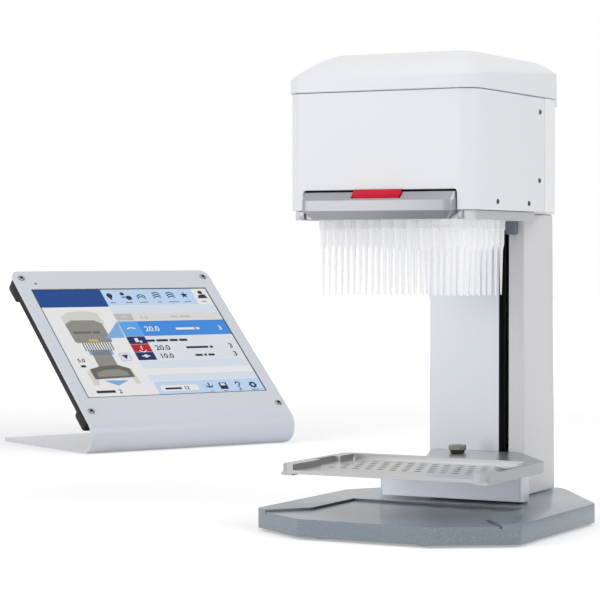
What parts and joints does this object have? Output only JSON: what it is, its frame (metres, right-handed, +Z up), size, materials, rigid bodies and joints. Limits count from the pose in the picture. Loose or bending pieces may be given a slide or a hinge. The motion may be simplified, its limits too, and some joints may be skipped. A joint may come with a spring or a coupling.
{
  "type": "bench-top 96-channel pipetting unit",
  "caption": "Compact bench pipetting head on a column over a lifting plate stage, with a tip drawer, an octagonal base and a separate touch console.",
  "frame": {"origin": "on the bench plane, under the centre of the box round the unit and its console", "axes": "+Z up, -Y towards the user at the unit's front, +X to the user's right"},
  "size_m": [0.7418, 0.712, 0.3128],
  "materials": {
    "white_enamel": "satin white",
    "satin_aluminium": "satin anodised",
    "speckled_grey": "fine speckled texture paint",
    "bright_steel": "ground",
    "black_plastic": "matt",
    "dark_plastic": "matt",
    "red_plastic": "gloss",
    "clear_polypropylene": "clear, slightly hazy",
    "black_rubber": "matt",
    "board_green": "solder mask",
    "display_glass": "lit display under glass",
    "pale_grey_enamel": "satin pale lavender grey",
    "bronze": "machined"
  },
  "bodies": {
    "instrument": {"base_plate": "speckled_grey", "foot_front_left": "black_rubber", "foot_front_right": "black_rubber", "foot_rear_left": "black_rubber", "foot_rear_right": "black_rubber", "column_shell": "white_enamel", "column_front_panel": "white_enamel", "slot_top_cap": "dark_plastic", "slot_seal_left": "black_plastic", "slot_seal_right": "black_plastic", "column_spine": "satin_aluminium", "guide_rod_left": "bright_steel", "guide_rod_right": "bright_steel", "screw_bearing": "bright_steel", "lift_motor": "dark_plastic", "head_casing": "white_enamel", "head_rear_cover": "white_enamel", "head_lid": "white_enamel", "head_plate": "satin_aluminium", "head_frame": "satin_aluminium", "tip_gasket": "black_rubber", "cylinder_block": "satin_aluminium", "motor_plate": "satin_aluminium", "guide_post_1": "bright_steel", "guide_post_2": "bright_steel", "guide_post_3": "bright_steel", "guide_post_4": "bright_steel", "piston_motor": "dark_plastic", "control_board": "board_green", "power_inlet": "black_plastic"},
    "stage": {"stage_plate": "satin_aluminium", "stage_insert": "satin_aluminium", "stage_bracket": "satin_aluminium", "lift_carriage": "satin_aluminium", "lift_nut": "bronze"},
    "lift_screw": {"lift_screw": "bright_steel", "screw_coupling": "bright_steel"},
    "knob": {"thumb_knob": "dark_plastic"},
    "drawer": {"tip_drawer": "satin_aluminium", "drawer_handle": "satin_aluminium", "latch_spring": "bright_steel", "tip_rack": "clear_polypropylene"},
    "latch": {"latch_button": "red_plastic"},
    "pistons": {"piston_plate": "satin_aluminium", "piston_nut": "bronze"},
    "piston_screw": {"piston_screw": "bright_steel"},
    "console": {"console_stand": "pale_grey_enamel", "tablet_screen": "display_glass", "tablet_case": "black_plastic", "console_screw_1": "dark_plastic", "console_screw_2": "dark_plastic", "console_screw_3": "dark_plastic", "console_screw_4": "dark_plastic"}
  },
  "joints": [
    {"name": "stage_lift", "type": "slide", "parent": "instrument", "child": "stage", "axis": [0, 0, 1], "range_m": [0, 0.105]},
    {"name": "lift_screw_turn", "type": "hinge", "parent": "instrument", "child": "lift_screw", "pos_m": [0.27685, -0.14604, 0.1], "axis": [0, 0, 1], "range_deg": [0, 3780]},
    {"name": "knob_turn", "type": "hinge", "parent": "stage", "child": "knob", "pos_m": [0.27485, -0.20704, 0.047], "axis": [0, 0, 1], "range_deg": [-180, 180]},
    {"name": "drawer_slide", "type": "slide", "parent": "instrument", "child": "drawer", "axis": [0, -1, 0], "range_m": [0, 0.088]},
    {"name": "latch_press", "type": "slide", "parent": "drawer", "child": "latch", "axis": [0, 0, -1], "range_m": [0, 0.002], "stiffness_N_per_m": 800, "springref_m": -0.001},
    {"name": "piston_stroke", "type": "slide", "parent": "instrument", "child": "pistons", "axis": [0, 0, -1], "range_m": [0, 0.01]},
    {"name": "piston_screw_turn", "type": "hinge", "parent": "instrument", "child": "piston_screw", "pos_m": [0.27685, -0.28404, 0.26], "axis": [0, 0, 1], "range_deg": [0, 360]},
    {"name": "console_place", "type": "slide", "parent": "instrument", "child": "console", "axis": [-1, 0, 0], "range_m": [0, 0.25]}
  ],
  "couplings": [
    {"joint": "lift_screw_turn", "follows": "stage_lift", "rad_per_m": 628.32},
    {"joint": "piston_screw_turn", "follows": "piston_stroke", "rad_per_m": 628.32}
  ]
}
